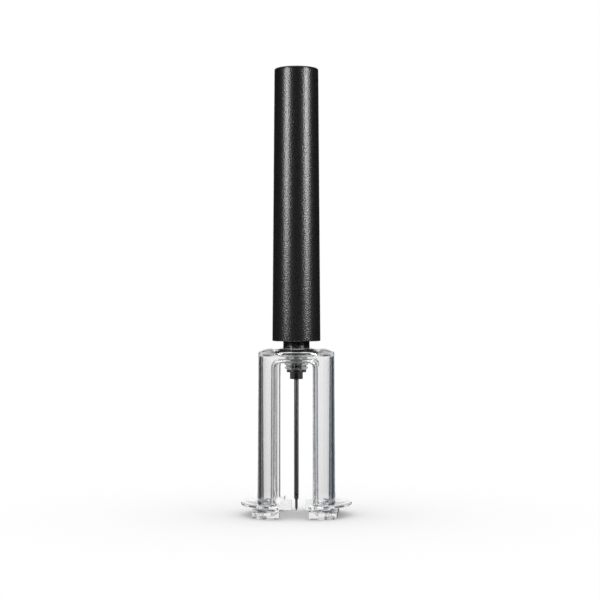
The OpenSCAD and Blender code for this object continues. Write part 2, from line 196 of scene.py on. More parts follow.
class OpenerStage(bpy.types.PropertyGroup):
    """Camera, room and lights."""

    azimuth: angle("View azimuth", "Camera's place, counted from the front to the right", 3.5)
    distance: length("View distance", "From the camera to the needle's axis", 0.84)
    eye_height: length("Eye height", "Height of the level camera", 0.103)
    lens: amount("Lens", "Focal length in millimetres", 105)
    shift: amount("Shift", "Sideways shift of the lens", 0.006)
    fill: amount("Fill", "Light of the room on dull surfaces", 1.12)
    gloss_walls: amount("Walls in gloss", "Light that gloss reflects from the walls", 0.03)
    gloss_ceiling: amount("Ceiling in gloss", "Light that gloss reflects from above", 0.2)
    floor_tone: amount("Floor tone", "Light that clear pieces show from below the horizon", 0.86)
    gloss_floor: amount("Floor in gloss", "Light that gloss reflects from below", 0.55)
    left_angle: angle("Left angle", "Angle from the camera round to the left soft box", 50)
    right_angle: angle("Right angle", "Angle from the camera round to the right soft box", 53)
    strip_distance: length("Strip distance", "From the axis to each soft box", 0.9)
    strip_width: length("Strip width", "Width of a soft box", 0.26)
    strip_height: length("Strip height", "Height of a soft box", 0.6)
    strip_centre: length("Strip centre", "Height of a soft box's middle", 0.375)
    left_power: amount("Left power", "Watts of the left box", 9)
    right_power: amount("Right power", "Watts of the right box", 10)
    flag_distance: length("Flag distance", "From the axis to the plane of the black flags", 0.5)
    left_near: length("Left flag start", "Inner edge of the left flag, from the middle", 0.146)
    right_near: length("Right flag start", "Inner edge of the right flag, from the middle", 0.138)
    flag_far: length("Flag end", "Outer edge of a flag, from the middle", 0.9)
    flag_low: length("Flag bottom", "Lower edge of the flags", -0.6)
    flag_high: length("Flag top", "Upper edge of the flags", 0.9)
    card_width: length("Card width", "Width of the white card behind the object", 0.28)
    card_low: length("Card bottom", "Lower edge of the white card", -0.045)
    floor_size: length("Floor size", "Side of the square floor", 8)
    mat_radius: length("Mat radius", "Part of the floor that shows through clear pieces", 0.06)


# ---- Materials ----


def linear(hex_colour):
    """An sRGB hex colour as linear red, green, blue and alpha."""
    parts = [int(hex_colour[i : i + 2], 16) / 255 for i in (1, 3, 5)]
    return (*[p / 12.92 if p <= 0.04045 else ((p + 0.055) / 1.055) ** 2.4 for p in parts], 1.0)


def node(tree, kind, inputs=None, **settings):
    """Adds a node; inputs gives constants, or output sockets to link, by socket name or number."""
    made = tree.nodes.new(kind)
    for key, value in settings.items():
        setattr(made, key, value)
    for key, value in (inputs or {}).items():
        if isinstance(value, bpy.types.NodeSocket):
            tree.links.new(value, made.inputs[key])
        else:
            made.inputs[key].default_value = value
    return made


def new_material(name):
    """An empty node material and its tree."""
    material = bpy.data.materials.new(name)
    material.use_nodes = True
    material.node_tree.nodes.clear()
    return material, material.node_tree


def finished(material, shader):
    """The material with its last shader node on the surface."""
    node(material.node_tree, "ShaderNodeOutputMaterial", {"Surface": shader.outputs[0]})
    return material


def grain(tree, size_mm, detail=2.0):
    """Noise over the piece's own place, whose lumps are about size_mm across."""
    place = node(tree, "ShaderNodeTexCoord").outputs["Object"]
    return node(
        tree, "ShaderNodeTexNoise", {"Vector": place, "Scale": 1 / (size_mm * MM), "Detail": detail}
    ).outputs["Fac"]


def spread(tree, value, low_out, high_out, low_in=0.3, high_in=0.7):
    """value from low_in to high_in, spread over low_out to high_out."""
    inputs = {0: value, 1: low_in, 2: high_in, 3: low_out, 4: high_out}
    return node(tree, "ShaderNodeMapRange", inputs).outputs[0]


def blasted_black_abs(colours):
    """ABS moulded in a spark-eroded tool: satin, with a fine grain that breaks highlights into grit."""
    # the real grain is about 0.15 mm across, too fine to show, so it is drawn at 0.55 mm
    material, tree = new_material("Blasted black ABS")
    lumps = grain(tree, 0.55, 0.5)
    height = spread(tree, lumps, 0.0, 1.0, 0.25, 0.75)
    bump = node(tree, "ShaderNodeBump", {"Height": height, "Strength": 1.0, "Distance": 0.048 * MM})
    dark, pale = (linear(colour) for colour in (colours.grip, colours.grip_glint))
    # the pale flecks in the base colour are painted glints: tone that stands for grain peaks catching
    # the light, spread at random
    painted_glints = node(tree, "ShaderNodeMix", {
        "Factor": spread(tree, grain(tree, 0.5, 1.0), 0.0, 1.0, 0.35, 0.75), 6: dark, 7: pale
    }, data_type="RGBA").outputs[2]
    shader = node(tree, "ShaderNodeBsdfPrincipled", {
        "Base Color": painted_glints,
        "Roughness": spread(tree, lumps, 0.33, 0.25),
        "IOR": 1.54,
        "Normal": bump.outputs[0],
    })
    return finished(material, shader)


def gloss_black(name, hex_colour, roughness, wave_mm):
    """Black plastic from a polished tool: gloss, with the faint waves, wave_mm long, of moulding."""
    material, tree = new_material(name)
    bump = node(tree, "ShaderNodeBump", {
        "Height": grain(tree, wave_mm, 1.0), "Strength": 0.12, "Distance": 0.05 * MM
    })
    shader = node(tree, "ShaderNodeBsdfPrincipled", {
        "Base Color": linear(hex_colour),
        "Roughness": roughness,
        "IOR": 1.53,
        "Normal": bump.outputs[0],
    })
    return finished(material, shader)


def clear_polycarbonate(colours):
    """Polycarbonate from a polished tool: clear, with faint waves. Lamps shine through it."""
    material, tree = new_material("Clear polycarbonate")
    bump = node(tree, "ShaderNodeBump", {
        "Height": grain(tree, 6.0, 0.0), "Strength": 0.05, "Distance": 0.1 * MM
    })
    shader = node(tree, "ShaderNodeBsdfPrincipled", {
        "Base Color": linear(colours.clear),
        "Roughness": 0.01,
        "IOR": 1.58,
        "Transmission Weight": 1.0,
        "Normal": bump.outputs[0],
    })
    rays = node(tree, "ShaderNodeLightPath").outputs
    shade = node(tree, "ShaderNodeBsdfTransparent", {"Color": linear(colours.shade)})
    lit = node(tree, "ShaderNodeMixShader", {
        0: rays["Is Shadow Ray"], 1: shader.outputs[0], 2: shade.outputs[0]
    })
    # the pale floor sees the clear wall as a grey film, which is the soft shadow that it casts
    film = node(tree, "ShaderNodeBsdfTransparent", {"Color": linear(colours.film)})
    mix = node(tree, "ShaderNodeMixShader", {
        0: rays["Is Diffuse Ray"], 1: lit.outputs[0], 2: film.outputs[0]
    })
    return finished(material, mix)


def turned_steel(colours):
    """Stainless steel turned on a lathe: bright metal, a little uneven in its polish."""
    material, tree = new_material("Turned stainless steel")
    shader = node(tree, "ShaderNodeBsdfPrincipled", {
        "Base Color": linear(colours.steel),
        "Metallic": 1.0,
        "Roughness": spread(tree, grain(tree, 0.25), 0.16, 0.34),
    })
    return finished(material, shader)


def coated_steel(colours):
    """Steel with a dark baked non-stick coat: low sheen over fine pits."""
    # the pits of the real coat are under 0.1 mm across, so they are drawn coarser than they are
    material, tree = new_material("Non-stick coated steel")
    bump = node(tree, "ShaderNodeBump", {
        "Height": grain(tree, 0.3), "Strength": 0.3, "Distance": 0.02 * MM
    })
    shader = node(tree, "ShaderNodeBsdfPrincipled", {
        "Base Color": linear(colours.coated),
        "Metallic": 0.2,
        "Roughness": spread(tree, grain(tree, 0.6), 0.35, 0.5),
        "Normal": bump.outputs[0],
    })
    return finished(material, shader)


def nitrile_rubber(colours):
    """Moulded nitrile rubber: black, dull, with a dusty bloom."""
    material, tree = new_material("Nitrile rubber")
    shader = node(tree, "ShaderNodeBsdfPrincipled", {
        "Base Color": linear(colours.rubber),
        "Roughness": spread(tree, grain(tree, 0.7), 0.42, 0.62),
        "IOR": 1.52,
    })
    return finished(material, shader)


def natural_acetal(colours):
    """Machined natural acetal: milky and waxy, because a little light gets in."""
    material, tree = new_material("Natural acetal")
    shader = node(tree, "ShaderNodeBsdfPrincipled", {
        "Base Color": linear(colours.acetal),
        "Roughness": spread(tree, grain(tree, 0.8), 0.3, 0.42),
        "IOR": 1.48,
        "Subsurface Weight": 0.2,
        "Subsurface Scale": 1.5 * MM,
    })
    return finished(material, shader)


MAKERS = {
    "handle": blasted_black_abs,
    "cap": lambda c: gloss_black("Gloss black ABS", c.cap, 0.24, 4.0),
    "barrel": lambda c: gloss_black("Moulded black nylon", c.nylon, 0.16, 2.5),
    "clear": clear_polycarbonate,
    "steel": turned_steel,
    "needle": coated_steel,
    "rubber": nitrile_rubber,
    "acetal": natural_acetal,
}
finishes = {}


def finish_for(slot):
    """The material of a slot, made once."""
    if slot not in finishes:
        finishes[slot] = MAKERS[slot](bpy.context.scene.opener_colours)
    return finishes[slot]


# ---- Shapes ----


def rounded(corners, closed=True, steps=5):
    """An outline whose corners are arcs. corners is a list of (x, y, radius); an arc touches both
    sides of its corner, and its points run evenly in angle from one side to the other."""
    points = []
    count = len(corners)
    for i, (x, y, r) in enumerate(corners):
        here = np.array([x, y])
        if r <= 0 or (not closed and i in (0, count - 1)):
            points.append(here[None])
            continue
        before = np.array(corners[i - 1][:2]) - here
        after = np.array(corners[(i + 1) % count][:2]) - here
        before, after = before / np.linalg.norm(before), after / np.linalg.norm(after)
        half = math.acos(np.clip(before @ after, -1, 1)) / 2
        middle = (before + after) / np.linalg.norm(before + after)
        centre = here + middle * r / math.sin(half)
        start = here + before * r / math.tan(half) - centre
        end = here + after * r / math.tan(half) - centre
        sweep = math.pi - 2 * half
        t = np.linspace(0, 1, steps + 1)[:, None]
        points.append(
            centre + (np.sin((1 - t) * sweep) * start + np.sin(t * sweep) * end) / math.sin(sweep)
        )
    return np.vstack(points)


def sizes():
    """The object's own sizes."""
    return bpy.context.scene.opener_sizes


class Patches:
    """Grids of points that are welded where they meet and become one closed mesh."""

    def __init__(self):
        self.points, self.quads, self.count = [], [], 0

    def add(self, grid):
        """grid is an array of rows by columns by 3, and each cell of it becomes one face."""
        rows, columns = grid.shape[:2]
        index = np.arange(rows * columns).reshape(rows, columns) + self.count
        cells = [index[:-1, :-1], index[1:, :-1], index[1:, 1:], index[:-1, 1:]]
        self.quads.append(np.stack(cells, -1).reshape(-1, 4))
        self.points.append(grid.reshape(-1, 3))
        self.count += rows * columns

    def mesh(self, name, sharp_deg=35.0):
        """The welded mesh, faces outwards, smooth but for edges sharper than sharp_deg."""
        points = np.vstack(self.points)
        weld_distance = 0.0001 * MM
        keys, first, welded = np.unique(
            np.round(points / weld_distance).astype(np.int64), axis=0, return_index=True,
            return_inverse=True,
        )
        quads = welded.reshape(-1)[np.vstack(self.quads)]
        faces = []
        for quad in quads.tolist():
            face = [v for i, v in enumerate(quad) if v != quad[i - 1]]
            if len(set(face)) == len(face) and len(face) > 2:
                faces.append(face)
        made = bpy.data.meshes.new(name)
        made.from_pydata(points[first].tolist(), [], faces)
        work = bmesh.new()
        work.from_mesh(made)
        bmesh.ops.recalc_face_normals(work, faces=work.faces)
        work.to_mesh(made)
        work.free()
        made.shade_smooth()
        made.set_sharp_from_angle(angle=math.radians(sharp_deg))
        return made


def turned(profile, segments, centre=(0, 0)):
    """A grid from a closed profile of (radius, height), turned about a vertical axis at centre."""
    closed = np.vstack([profile, profile[:1]])
    turn = np.linspace(0, 2 * math.pi, segments + 1)
    turn[-1] = 0
    return np.stack([
        centre[0] + np.outer(np.cos(turn), closed[:, 0]),
        centre[1] + np.outer(np.sin(turn), closed[:, 0]),
        np.broadcast_to(closed[:, 1], (segments + 1, len(closed))),
    ], -1)


def place(name, mesh, slot, body, *nodes):
    """Puts a finished mesh in the scene with its finish, its body and the nodes that it stands for."""
    piece = bpy.data.objects.new(name, mesh)
    bpy.context.scene.collection.objects.link(piece)
    mesh.materials.append(finish_for(slot))
    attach(piece, body)
    if nodes:
        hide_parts(*nodes)
    return piece


def turned_piece(name, corners, slot, body, *nodes, segments=None, steps=5):
    """A piece turned from one outline with rounded corners."""
    patches = Patches()
    patches.add(turned(rounded(corners, steps=steps), segments or sizes().segments))
    return place(name, patches.mesh(name), slot, body, *nodes)


# ---- Pieces ----


def make_grip():
    """The grip's shell and its cap. Both are turned from outlines of (radius, height)."""
    s = sizes()
    z0, z1 = low("handle_shell"), top("handle_shell")
    web_top, web_low = low("rod_washer"), low("rod_washer") - s.web
    groove_r, groove_z = s.grip_top_radius - s.cap_groove, z1 - 0.25 * MM
    turned_piece("grip_shell", [
        (s.grip_bore, z0, 0.3 * MM),
        (radius("handle_shell"), z0, s.grip_edge),
        (s.grip_top_radius, groove_z, 0),
        (groove_r, groove_z, 0),
        (groove_r, z1, 0),
        (s.grip_bore, z1, 0),
        (s.grip_bore, web_top, 0.4 * MM),
        (s.rod_end, web_top, 0),
        (s.rod_end, web_low, 0),
        (s.grip_bore, web_low, 0.4 * MM),
    ], "handle", "handle", "handle_shell")
    # the rim is a quarter of an ellipse, wider than it is deep, round a shallow dish
    cap_top, skirt = top("handle_cap"), low("handle_cap")
    dish, rim_width, lid_z = 0.15 * MM, 2.6 * s.cap_edge, z1 - 0.2 * MM
    skirt_inner = s.grip_bore - s.cap_skirt
    turned_piece("grip_cap", [
        (0, cap_top - dish, 0),
        (s.grip_top_radius / 2, cap_top - 0.6 * dish, 0),
        (s.grip_top_radius - rim_width, cap_top, 0),
        *[(
            s.grip_top_radius - rim_width * (1 - math.sin(a)),
            cap_top - s.cap_edge * (1 - math.cos(a)), 0,
        ) for a in np.linspace(0, math.pi / 2, 11)[1:]],
        (s.grip_top_radius, z1, 0.1 * MM),
        (s.grip_bore, z1, 0),
        (s.grip_bore, skirt, 0.3 * MM),
        (skirt_inner, skirt, 0.3 * MM),
        (skirt_inner, lid_z, 0.4 * MM),
        (0, lid_z, 0),
    ], "cap", "handle", "handle_cap", steps=8)


def make_barrel():
    """The pump barrel, which shows as the neck, and the washer that it stands on."""
    s = sizes()
    r, z0, z1 = radius("pump_barrel"), low("pump_barrel"), top("pump_barrel")
    inner = radius("valve_housing")
    turned_piece("barrel_tube", [
        (inner, z0, 0), (r, z0, 0.25 * MM), (r, z1, 0.25 * MM), (inner, z1, 0.1 * MM),
    ], "barrel", "base", "pump_barrel")
    r, inner, edge = radius("seat_washer"), s.housing_spigot, 0.55 * MM
    z0, z1 = low("seat_washer"), top("seat_washer")
    turned_piece("neck_washer", [
        (inner, z0, 0), (r, z0, edge), (r, z1, edge), (inner, z1, 0),
    ], "rubber", "base", "seat_washer", steps=6)


def polar(angle, r, z):
    """Points from arrays of angle, radius and height that are broadcast against each other."""
    angle, r, z = np.broadcast_arrays(angle, r, z)
    return np.stack([r * np.cos(angle), r * np.sin(angle), z], -1)


def end_cap(ring):
    """Cells between a closed ring of points and the ring's middle."""
    return np.stack([ring, np.broadcast_to(ring[:-1].mean(0), ring.shape)], 1)


class Sleeve:
    """The clear sleeve, welded from patches of (angle, height) and of (angle, radius).

    Angles are counted from the middle of a slot to the middle of a leg, so four quarters make the
    whole. The slot's outline goes up beside the leg, round a quarter circle and across to the middle.
    """

    UP_ROWS, ARC_STEPS, ACROSS_STEPS, LEG_STEPS, RING_ROWS = 24, 8, 12, 20, 6

    def __init__(self):
        s = self.s = sizes()
        self.z0 = low("sleeve")
        self.z1 = self.z0 + s.flange
        self.roof_top = top("sleeve")
        self.roof_low = self.roof_top - s.roof
        self.wall_z1 = self.roof_top - s.shoulder_height
        self.slot_z = self.roof_low - s.slot_top_wall
        self.split_z = self.slot_z - s.slot_corner
        self.middle_r = s.bore + s.wall_low / 2
        self.rim = rounded([
            (s.bore + s.wall_low, self.z1, 0),
            (radius("sleeve"), self.z1, 0.35 * MM),
            (radius("sleeve"), self.z0, 0.35 * MM),
            (s.bore, self.z0, 0),
            (s.bore, self.z1, 0),
        ], closed=False, steps=4)
        # across the wall's edge: how far each point lies inside the material, and how deep in the
        # wall. Outside there is a groove, one cosine wave, and then an edge that is a quarter of an
        # ellipse, which leaves a bead along the slot; the inner edge is a quarter circle
        self.edge_width = s.slot_edge_width + s.slot_groove_width
        t = np.linspace(0, 1, 13)[:-1]
        groove = [self.edge_width - s.slot_groove_width * t, s.slot_groove * np.sin(math.pi * t) ** 2]
        a = np.linspace(0, math.pi / 2, 9)
        edge = [s.slot_edge_width * (1 - np.sin(a)), s.slot_edge_depth * (1 - np.cos(a))]
        self.outer_edge = np.hstack([groove, edge])
        a = np.linspace(0, math.pi / 2, 5)
        edge = [s.slot_inner_edge * (1 - np.sin(a)), s.slot_inner_edge * (1 - np.cos(a))]
        self.inner_edge = np.hstack([[[self.edge_width], [0]], edge])
        self.profile = self.roof_profile()
        self.patches = Patches()

    def wall_radius(self, z):
        """Outer radius of the wall: a straight draft from the flange's top to the shoulder."""
        s = self.s
        share = (z - self.z1) / (self.wall_z1 - self.z1)
        return s.bore + s.wall_low + (s.wall_top - s.wall_low) * share

    def slot_outline(self, offset):
        """Slot outline moved into the material by offset, as angle from the slot's middle and height."""
        s = self.s
        half = s.slot_half_angle * self.middle_r
        up = np.linspace(self.z1, self.split_z, self.UP_ROWS + 1)
        a = np.linspace(0, math.pi / 2, self.ARC_STEPS + 1)[1:]
        across = np.linspace(half - s.slot_corner, 0, self.ACROSS_STEPS + 1)[1:]
        r = s.slot_corner + offset
        x = np.concatenate([
            np.full(len(up), half + offset), half - s.slot_corner + r * np.cos(a), across
        ])
        over = np.full(len(across), self.slot_z + offset)
        z = np.concatenate([up, self.split_z + r * np.sin(a), over])
        return x / self.middle_r, z

    def roof_profile(self):
        """(radius, height) from the shoulder's foot over the roof, down through the boss's holes, up
        the boss's rings and along the roof's underside. The shoulder is a quarter of an ellipse, and
        each ring is half a cosine wave."""
        s = self.s
        a = np.linspace(0, math.pi / 2, 13)
        shoulder = np.stack([
            s.bore + s.wall_top - s.shoulder_width * (1 - np.cos(a)),
            self.wall_z1 + s.shoulder_height * np.sin(a),
        ], -1)
        # the washer and the needle holder are pressed on the clear wall, so they show black through
        # it, and a film of air lies round the washer's rim and the valve housing
        film, squeeze = 0.02 * MM, 0.01 * MM
        washer_r, washer_z = radius("seat_washer") + film, low("seat_washer") + squeeze
        spigot_r, spigot_z = s.housing_spigot + film, low("valve_housing") - film
        hole_r, hole_z = s.hub_spigot - squeeze, top("needle_seal") - squeeze
        boss_z = low("needle_hub") + s.hub_height
        holes = rounded([
            (*shoulder[-1], 0),
            (washer_r, self.roof_top, 0.2 * MM),
            (washer_r, washer_z, 0),
            (spigot_r, washer_z, 0),
            (spigot_r, spigot_z, 0),
            (s.air_hole, spigot_z, 0),
            (s.air_hole, hole_z, 0),
            (hole_r, hole_z, 0),
            (hole_r, boss_z, 0),
        ], closed=False, steps=3)[1:]
        root = s.boss_radius - s.boss_groove
        neck_z = self.roof_low - 0.4 * MM
        climb = np.linspace(0, 1, s.boss_rings * 10 + 1)
        wave = (0.5 - 0.5 * np.cos(climb * s.boss_rings * 2 * math.pi)) ** 0.7
        rings = np.stack([root + s.boss_groove * wave, boss_z + climb * (neck_z - boss_z)], -1)
        under = rounded([
            (root, neck_z, 0),
            (root, self.roof_low, 0.35 * MM),
            (s.bore, self.roof_low, s.roof_fillet),
            (s.bore, self.split_z, 0),
        ], closed=False, steps=5)[1:-1]
        return np.vstack([shoulder, holes, rings, under])

    def roof(self, angles, z_low):
        """Roof and upper wall over some angles, and down to height z_low of each angle on both sides."""
        t = np.linspace(0, 1, self.RING_ROWS + 1)[:-1]
        angles, z_low = angles[:, None], z_low[:, None]
        outer = z_low + t * (self.wall_z1 - z_low)
        inner = z_low + t[::-1] * (self.profile[-1, 1] - z_low)
        self.patches.add(np.concatenate([
            polar(angles, self.wall_radius(outer), outer),
            polar(angles, *self.profile.T[:, None]),
            polar(angles, self.s.bore, inner),
        ], axis=1))

    def leg(self, angles):
        """Leg below the roof over some angles: down the outside, round the flange and up the inside."""
        angles = angles[:, None]
        up = np.linspace(self.z1, self.split_z, self.UP_ROWS + 1)
        self.patches.add(np.concatenate([
            polar(angles, self.wall_radius(up[::-1]), up[::-1]),
            polar(angles, *self.rim[1:].T[:, None]),
            polar(angles, self.s.bore, up[1:]),
        ], axis=1))

    def slot_edge(self, place):
        """The wall's rounded edge all along the slot. place turns slot angles into true angles."""
        columns = []
        for offset, depth in self.outer_edge.T:
            turn, z = self.slot_outline(offset)
            columns.append(polar(place(turn), self.wall_radius(z) - depth, z))
        for offset, depth in self.inner_edge.T[::-1]:
            turn, z = self.slot_outline(offset)
            columns.append(polar(place(turn), self.s.bore + depth, z))
        self.patches.add(np.stack(columns, 1))

    def flange_end(self, place):
        """The flange from the leg's edge to the flat face at the gap, and that face."""
        s = self.s
        offset = np.concatenate([self.inner_edge[0], self.outer_edge[0][::-1]])
        side = s.slot_half_angle + offset / self.middle_r
        r = np.concatenate([
            s.bore + self.inner_edge[1], s.bore + s.wall_low - self.outer_edge[1][::-1],
            self.rim[1:, 0],
        ])
        z = np.concatenate([np.full(len(side), self.z1), self.rim[1:, 1]])
        start = np.concatenate([side, np.full(len(self.rim) - 1, side[0])])
        # the groove runs out, so that the end has no fold
        plain_r = np.concatenate([np.maximum.accumulate(r[:len(side)]), r[len(side):]])
        end = np.arcsin(s.leg_gap / 2 / plain_r)
        t = np.linspace(0, 1, 7)[:, None]
        loop = polar(place(start + t * (end - start)), r + t * (plain_r - r), z)
        self.patches.add(loop)
        self.patches.add(end_cap(loop[-1]))

    def build(self):
        """All four quarters."""
        edge_turn, edge_z = self.slot_outline(self.edge_width)
        over_slot = slice(self.UP_ROWS, None)
        leg_turn = np.linspace(edge_turn[0], math.pi / 2, self.LEG_STEPS + 1)
        for middle in (math.pi / 2, -math.pi / 2):
            for side in (1, -1):

                def place(turn):
                    return middle + side * turn

                self.roof(place(edge_turn[over_slot]), edge_z[over_slot])
                self.roof(place(leg_turn), np.full(len(leg_turn), self.split_z))
                self.leg(place(leg_turn))
                self.slot_edge(place)
                self.flange_end(place)
        return self.patches


def make_sleeve():
    """The clear sleeve, one moulding with its roof, boss, legs and flange."""
    patches = Sleeve().build()
    place("clear_sleeve", patches.mesh("clear_sleeve"), "clear", "base", "sleeve")


def make_feet():
    """Two clear feet. A section is a line in plan from the sleeve's bore circle out to the foot's
    rounded outline, and the sections go round the foot. Where a post stands, they reach up to the
    flange; elsewhere they stop at the plate's top. The ends of each post are steps in height."""
    s = sizes()
    lo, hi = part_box("right_foot")
    gap, heel = s.leg_gap / 2, lo.x
    outline = rounded([
        (gap, lo.y, 0), (hi.x, lo.y, s.foot_corner), (hi.x, hi.y, s.foot_corner), (heel, hi.y, 0)
    ], closed=False, steps=10)
    along = np.concatenate([[0], np.cumsum(np.linalg.norm(np.diff(outline, axis=0), axis=1))])
    post_x = gap + s.post_width
    side_y = s.side_post_length / 2
    side_at = np.interp([-side_y, side_y], outline[:, 1], along)
    # each station: way along the outline, angle on the bore's circle, and steps from the last one
    front, side, back = math.acos(post_x / s.bore), math.asin(side_y / s.bore), math.acos(heel / s.bore)
    stations = [
        (0, -math.acos(gap / s.bore), 0, True),
        (post_x - gap, -front, 3, True),
        (side_at[0], -side, 30, False),
        (side_at[1], side, 8, True),
        (along[-1] - (post_x - heel), front, 30, False),
        (along[-1], back, 4, True),
    ]
    way, turn, post = [], [], []
    for (w0, a0, _, _), (w1, a1, steps, tall) in zip(stations, stations[1:]):
        way.append(np.linspace(w0, w1, steps + 1))
        turn.append(np.linspace(a0, a1, steps + 1))
        post.append(np.full(steps + 1, tall))
    way, turn, post = map(np.concatenate, (way, turn, post))
    outer = np.stack([np.interp(way, along, outline[:, k]) for k in (0, 1)], -1)
    inner = s.bore * np.stack([np.cos(turn), np.sin(turn)], -1)
    plate_z = np.full(len(way), s.foot_plate)
    air = 0.01 * MM
    top_z = np.where(post, hi.z - air, s.foot_plate)
    floor_z = np.full(len(way), lo.z)

    def column(plan, z):
        return np.concatenate([plan, z[:, None]], 1)

    for name, mirror in (("right", 1), ("left", -1)):
        flip = np.array([mirror, 1, 1])
        outside = [column(outer, z) * flip for z in (floor_z, plate_z, top_z)]
        inside = [column(inner, z) * flip for z in (floor_z, plate_z, top_z)]
        patches = Patches()
        patches.add(np.stack([*outside, *inside[::-1], outside[0]], 1))
        for end in (0, -1):
            patches.add(np.stack([
                np.stack([outside[k][end], inside[k][end]]) for k in range(3)
            ]))
        mesh = patches.mesh(f"{name}_foot_pad")
        piece = place(f"{name}_foot_pad", mesh, "clear", "base", f"{name}_foot")
        bevel = piece.modifiers.new("Edges", "BEVEL")
        bevel.width, bevel.segments, bevel.limit_method = 0.22 * MM, 3, "ANGLE"
        bevel.angle_limit = math.radians(40)
        bevel.harden_normals = True
        apply_modifiers(piece)


def apply_modifiers(piece):
    """Replaces a piece's mesh by what its modifiers make of it."""
    finished = bpy.data.meshes.new_from_object(
        piece.evaluated_get(bpy.context.evaluated_depsgraph_get())
    )
    piece.modifiers.clear()
    old, piece.data = piece.data, finished
    bpy.data.meshes.remove(old)
    finished.name = piece.name


def make_wheels():
    """Four foil cutting wheels and their pins, turned about their own axes. A wheel's faces slope
    from its hub to a knife edge, and a pin has chamfered ends."""
    s = sizes()
    clearance, knife, ground, chamfer = 0.05 * MM, 0.03 * MM, 0.5 * MM, 0.15 * MM
    for number in (1, 2, 3, 4):
        lo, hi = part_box(f"cutter_wheel_{number}")
        axis = wheel_axis(number)
        r, middle = (hi.x - lo.x) / 2, (lo.z + hi.z) / 2
        half = (hi.z - lo.z) / 2
        bore = s.pin_radius + clearance
        upper = [
            (r, knife, 0),
            (r - ground, 0.16 * MM, 0),
            (s.wheel_hub + 0.2 * MM, 0.4 * MM, 0.15 * MM),
            (s.wheel_hub, half, 0.12 * MM),
            (bore + chamfer, half, 0),
            (bore, half - chamfer, 0),
        ]
        corners = [(x, middle + z, e) for x, z, e in upper]
        corners += [(x, middle - z, e) for x, z, e in reversed(upper)]
        wheel = Patches()
        wheel.add(turned(rounded(corners, steps=3), 96, axis))
        name = f"foil_wheel_{number}"
        place(name, wheel.mesh(name, 25), "steel", f"wheel_{number}", f"cutter_wheel_{number}")
        z0, z1 = low(f"wheel_pin_{number}"), top(f"wheel_pin_{number}")
        pin = Patches()
        cut = 0.2 * MM
        pin.add(turned(np.array([
            (0, z0), (s.pin_radius - cut, z0), (s.pin_radius, z0 + cut),
            (s.pin_radius, z1 - cut), (s.pin_radius - cut, z1), (0, z1),
        ]), 48, axis))
        name = f"foil_pin_{number}"
        place(name, pin.mesh(name, 25), "steel", "base", f"wheel_pin_{number}")


def make_needle():
    """The hollow needle, with its thinner nose and air hole, and the holder that it is pressed into."""
    s = sizes()
    tip, seal_top = low("needle"), top("needle")
    hub_z = low("needle_hub")
    shoulder = tip + s.nose_length
    hole_z = shoulder + s.air_hole_up
    needle = turned_piece("air_needle", [
        (0, tip, 0),
        (0.14 * MM, tip, 0.06 * MM),
        (s.nose_radius, tip + 1.5 * MM, 0.9 * MM),
        (s.nose_radius, shoulder - 0.7 * MM, 0.5 * MM),
        (s.needle_radius, shoulder, 0.4 * MM),
        (s.needle_radius, hub_z, 0.1 * MM),
        (s.shank_radius, hub_z, 0),
        (s.shank_radius, seal_top, 0.1 * MM),
        (s.needle_bore, seal_top, 0),
        (s.needle_bore, hole_z, 0),
        (0, hole_z, 0),
    ], "needle", "base", "needle", segments=64)
    # the drill that makes the air hole comes in from the front, and countersinks the hole's edge
    r, face, sink, past = s.needle_bore, s.needle_radius, 0.3 * MM, 0.4 * MM
    drill = turned(np.array([
        (0, 0), (r, 0), (r, face - 0.22 * MM), (r + sink, face + 0.08 * MM),
        (r + sink, face + past), (0, face + past),
    ]), 40)
    drill = np.stack([drill[..., 0], -drill[..., 2], drill[..., 1] + hole_z], -1)
    patches = Patches()
    patches.add(drill)
    cutter = bpy.data.objects.new("drill", patches.mesh("drill"))
    bpy.context.scene.collection.objects.link(cutter)
    cut = needle.modifiers.new("Air hole", "BOOLEAN")
    cut.operation, cut.solver, cut.object = "DIFFERENCE", "EXACT", cutter
    apply_modifiers(needle)
    bpy.data.objects.remove(cutter)
    collar_z, hub_top = hub_z + s.hub_height, top("needle_hub")
    ease = 0.02 * MM
    turned_piece("needle_holder", [
        (s.shank_radius + ease, hub_z, 0.1 * MM),
        (s.hub_radius, hub_z, 0.35 * MM),
        (s.hub_radius, collar_z - s.hub_collar, 0.25 * MM),
        (radius("needle_hub"), collar_z - s.hub_collar, 0.2 * MM),
        (radius("needle_hub"), collar_z - ease, 0.3 * MM),
        (s.hub_spigot, collar_z - ease, 0.1 * MM),
        (s.hub_spigot, hub_top, 0.2 * MM),
        (s.shank_radius + ease, hub_top, 0),
    ], "barrel", "base", "needle_hub", steps=4)


def finish_inner_parts():
    """Gives every CAD node that still shows the full finish of its slot."""
    for part in frame["record"]["subparts"]:
        shown = frame["nodes"][part["node"]]
        if not shown.hide_render:
            shown.data.materials.clear()
            shown.data.materials.append(finish_for(part["material_slot"]))


# ---- Stage ----


def backdrop(name, points, material, shown_to=()):
    """A flat piece of the studio with one face, seen only by the kinds of ray in shown_to."""
    mesh = bpy.data.meshes.new(name)
    mesh.from_pydata(points, [], [list(range(len(points)))])
    mesh.materials.append(material)
    made = bpy.data.objects.new(name, mesh)
    bpy.context.scene.collection.objects.link(made)
    for kind in ("camera", "diffuse", "glossy", "transmission", "shadow"):
        setattr(made, f"visible_{kind}", kind in shown_to)
    return made


def rectangle(left, right, low_edge, high_edge):
    """The corners of a rectangle, as pairs."""
    return [(left, low_edge), (right, low_edge), (right, high_edge), (left, high_edge)]


